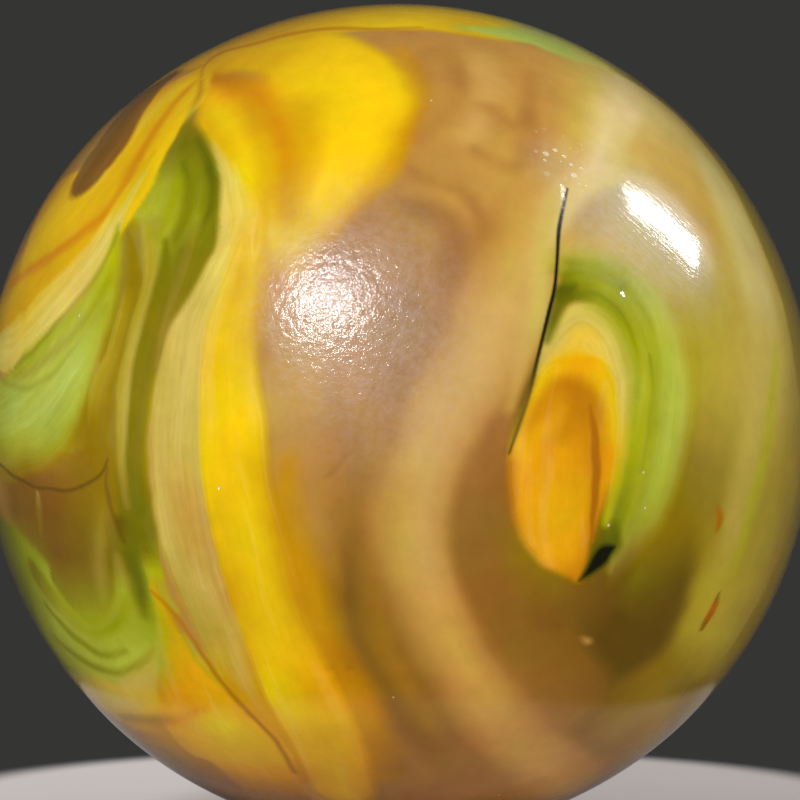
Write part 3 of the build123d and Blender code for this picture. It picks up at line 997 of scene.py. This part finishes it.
over_eye = worn_patch(4.7, 3.6, half_width=2.2, half_height=1.7, lean=-0.7)
over_seam = worn_patch(3.1, 4.8, half_width=0.8, half_height=0.9)
keep_on_skin("rubbed_and_sheen", "FLOAT", worn_patch(-0.7, 1.9, half_width=2.3, half_height=2.9, lean=0.35))
keep_on_skin("pitted", "FLOAT", worn_patch(3.15, 4.95, half_width=0.6, half_height=0.75))
keep_on_skin("scratched_and_sheen", "FLOAT", np.maximum(over_eye, 0.6 * over_seam))

# The material: glass with its colours in it, glossy outside, and hazy where it is worn, from its roughness
# and from a painted milky sheen where the lamps' highlights fall
per_mm = 1000.0
glass_index = 1.5
surface_roughness = 0.07
depth_roughness_low, depth_roughness_high = 0.06, 0.1
worn_roughness = 0.3
fine_thread_strength, broad_thread_strength = 0.44, 0.48
thread_strength_in_yellow = 0.3
thin_cloud, thick_cloud = 0.25, 0.75
# A painted milky sheen over the worn patches, where the lamps' highlights fall
sheen_milkiness_low, sheen_milkiness_high = 0.06, 0.26
wear_and_sheen_white = (0.66, 0.56, 0.55, 1.0)
pin_hole_cover = 0.65
pin_hole_white = (0.85, 0.75, 0.5, 1.0)
hairline_slant = np.radians(-42)
relief_height = 0.000009
knock_share, hairline_share, ripple_share, pin_hole_share = 2.3, 0.7, 0.25, 0.8  # of the relief's height

swirled_glass = bpy.data.materials.new("swirled_glass")
swirled_glass.use_nodes = True
glass = swirled_glass.node_tree
shader = glass.nodes["Principled BSDF"]


def on_skin(name, output="Fac"):
    return node(glass, "Attribute", attribute_name=name).outputs[output]


def worked_out(operation, first, second):
    return node(glass, "Math", {0: first, 1: second}, operation=operation).outputs[0]


def plus(first, second):
    return worked_out("ADD", first, second)


def minus(first, second):
    return worked_out("SUBTRACT", first, second)


def times(first, second):
    return worked_out("MULTIPLY", first, second)


def grain(places, scale, detail=3.0, roughness=0.6):
    """Cloudy grain of that many clouds to a unit, the same each way or of its own number each way"""
    scale = scale if isinstance(scale, tuple) else (scale,) * 3
    stretched = node(glass, "Mapping", {"Vector": places, "Scale": scale}).outputs[0]
    clouds = {"Vector": stretched, "Scale": 1.0, "Detail": detail, "Roughness": roughness}
    return node(glass, "TexNoise", clouds).outputs["Fac"]


def spread(value, low, high, to_low, to_high):
    ends = {"Value": value, "From Min": low, "From Max": high, "To Min": to_low, "To Max": to_high}
    return node(glass, "MapRange", ends).outputs[0]


def mixed(share, first, second):
    return node(glass, "Mix", {"Factor": share, "A": first, "B": second}, data_type="RGBA").outputs["Result"]


def parts_of(kind, value):
    return node(glass, kind, {0: value}).outputs


places = node(glass, "TexCoord").outputs["Object"]
streamlines = on_skin("flow", "Vector")

# Threads of lighter and darker glass run along each streak. They are fainter in the pure yellow glasses.
fine_threads = grain(streamlines, (8.0, 0.4, 1.0), 4.0, 0.7)
broad_threads = grain(streamlines, (2.6, 0.25, 1.0), 3.0, 0.6)
blotches = grain(places, 1.1 * per_mm, 5.0, 0.65)
tint_blotches = grain(places, 0.8 * per_mm, 3.0, 0.6)
# The swirl colour, with the painted light at the foot in it
swirl_with_foot_light = on_skin("swirl_with_foot_light", "Color")
paleness = spread(parts_of("SeparateColor", swirl_with_foot_light)["Blue"], 0.0, 0.08, thread_strength_in_yellow, 1.0)
fine_change = times(minus(fine_threads, 0.5), fine_thread_strength)
broad_change = times(minus(broad_threads, 0.5), broad_thread_strength)
lightness = plus(times(plus(fine_change, broad_change), paleness), 1.0)
changes = {
    "Color": swirl_with_foot_light,
    "Value": times(lightness, spread(blotches, thin_cloud, thick_cloud, 0.9, 1.1)),
    "Hue": spread(tint_blotches, thin_cloud, thick_cloud, 0.49, 0.51),
    "Saturation": spread(broad_threads, thin_cloud, thick_cloud, 1.06, 0.95),
}

# The fine lines are drawn from the skin's distance to them.
lined = node(glass, "HueSaturation", changes).outputs["Color"]
for layer in range(line_layers):
    line_parts = parts_of("SeparateXYZ", on_skin("line_%d" % layer, "Vector"))
    inside = minus(line_parts["Y"], worked_out("ABSOLUTE", line_parts["X"], 0.0))
    share = {0: worked_out("DIVIDE", inside, line_parts["Z"]), 1: 1.0, 2: 0.5}
    share = node(glass, "Math", share, operation="MULTIPLY_ADD", use_clamp=True).outputs[0]
    line_paint = node(glass, "Attribute", attribute_name="line_colour_%d" % layer).outputs
    lined = mixed(times(share, line_paint["Alpha"]), lined, line_paint["Color"])


# Pin-holes show as pale dots of several sizes.
def pin_holes(cells_per_mm, size_range, size_left_out):
    grid = {"Vector": places, "Scale": cells_per_mm * per_mm}
    cells = node(glass, "TexVoronoi", grid, feature="F1").outputs
    dot_size = times(parts_of("SeparateColor", cells["Color"])["Red"], size_range)
    past_edge = minus(cells["Distance"], minus(dot_size, size_left_out))
    return spread(past_edge, 0.0, 0.012 * cells_per_mm, 1.0, 0.0)


clustered_holes = times(pin_holes(6.0, 0.6, 0.2), on_skin("pitted"))
pin_hole = worked_out("MAXIMUM", pin_holes(1.5, 0.16, 0.118), clustered_holes)
wear_and_sheen = worked_out("MAXIMUM", on_skin("rubbed_and_sheen"), on_skin("scratched_and_sheen"))
# The worn patches are painted milky: partly the pale look of worn glass, and partly a painted sheen of the
# lamps' highlights that fall there.
sheen_milk_clouds = grain(places, 6.0 * per_mm, 4.0, 0.7)
wear_and_sheen_share = times(wear_and_sheen, spread(sheen_milk_clouds, 0.3, 0.7, sheen_milkiness_low, sheen_milkiness_high))
worn_with_sheen = mixed(wear_and_sheen_share, lined, wear_and_sheen_white)
pierced = mixed(times(pin_hole, pin_hole_cover), worn_with_sheen, pin_hole_white)

# The rubbed patch is hammered by small knocks, and the scratched one has slanting hairlines.
slant = {"Vector": places, "Angle": hairline_slant}
slanted = node(glass, "VectorRotate", slant, rotation_type="Y_AXIS").outputs[0]
hairlines = grain(slanted, (1.5 * per_mm, 1.5 * per_mm, 9 * per_mm), 3.0, 0.75)
knocks = grain(places, 5.5 * per_mm, 4.0, 0.65)
ripple = grain(places, 1.2 * per_mm, 2.0, 0.5)
height = times(times(knocks, on_skin("rubbed_and_sheen")), knock_share)
height = plus(height, times(times(hairlines, on_skin("scratched_and_sheen")), hairline_share))
height = plus(height, times(ripple, ripple_share))
height = minus(height, times(pin_hole, pin_hole_share))
relief = node(glass, "Bump", {"Height": height, "Distance": relief_height, "Strength": 1.0}).outputs[0]
depth_roughness = spread(grain(places, 3 * per_mm), 0.3, 0.7, depth_roughness_low, depth_roughness_high)
roughness = plus(times(wear_and_sheen, worn_roughness), depth_roughness)

fed = {"Base Color": pierced, "Roughness": roughness, "Normal": relief, "Coat Normal": relief}
for name, output in fed.items():
    glass.links.new(output, shader.inputs[name])
shader.inputs["IOR"].default_value = glass_index
shader.inputs["Coat Weight"].default_value = 1.0
shader.inputs["Coat Roughness"].default_value = surface_roughness
shader.inputs["Coat IOR"].default_value = glass_index
mesh.materials.append(swirled_glass)

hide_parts("glass_marble")
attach(marble, "root")
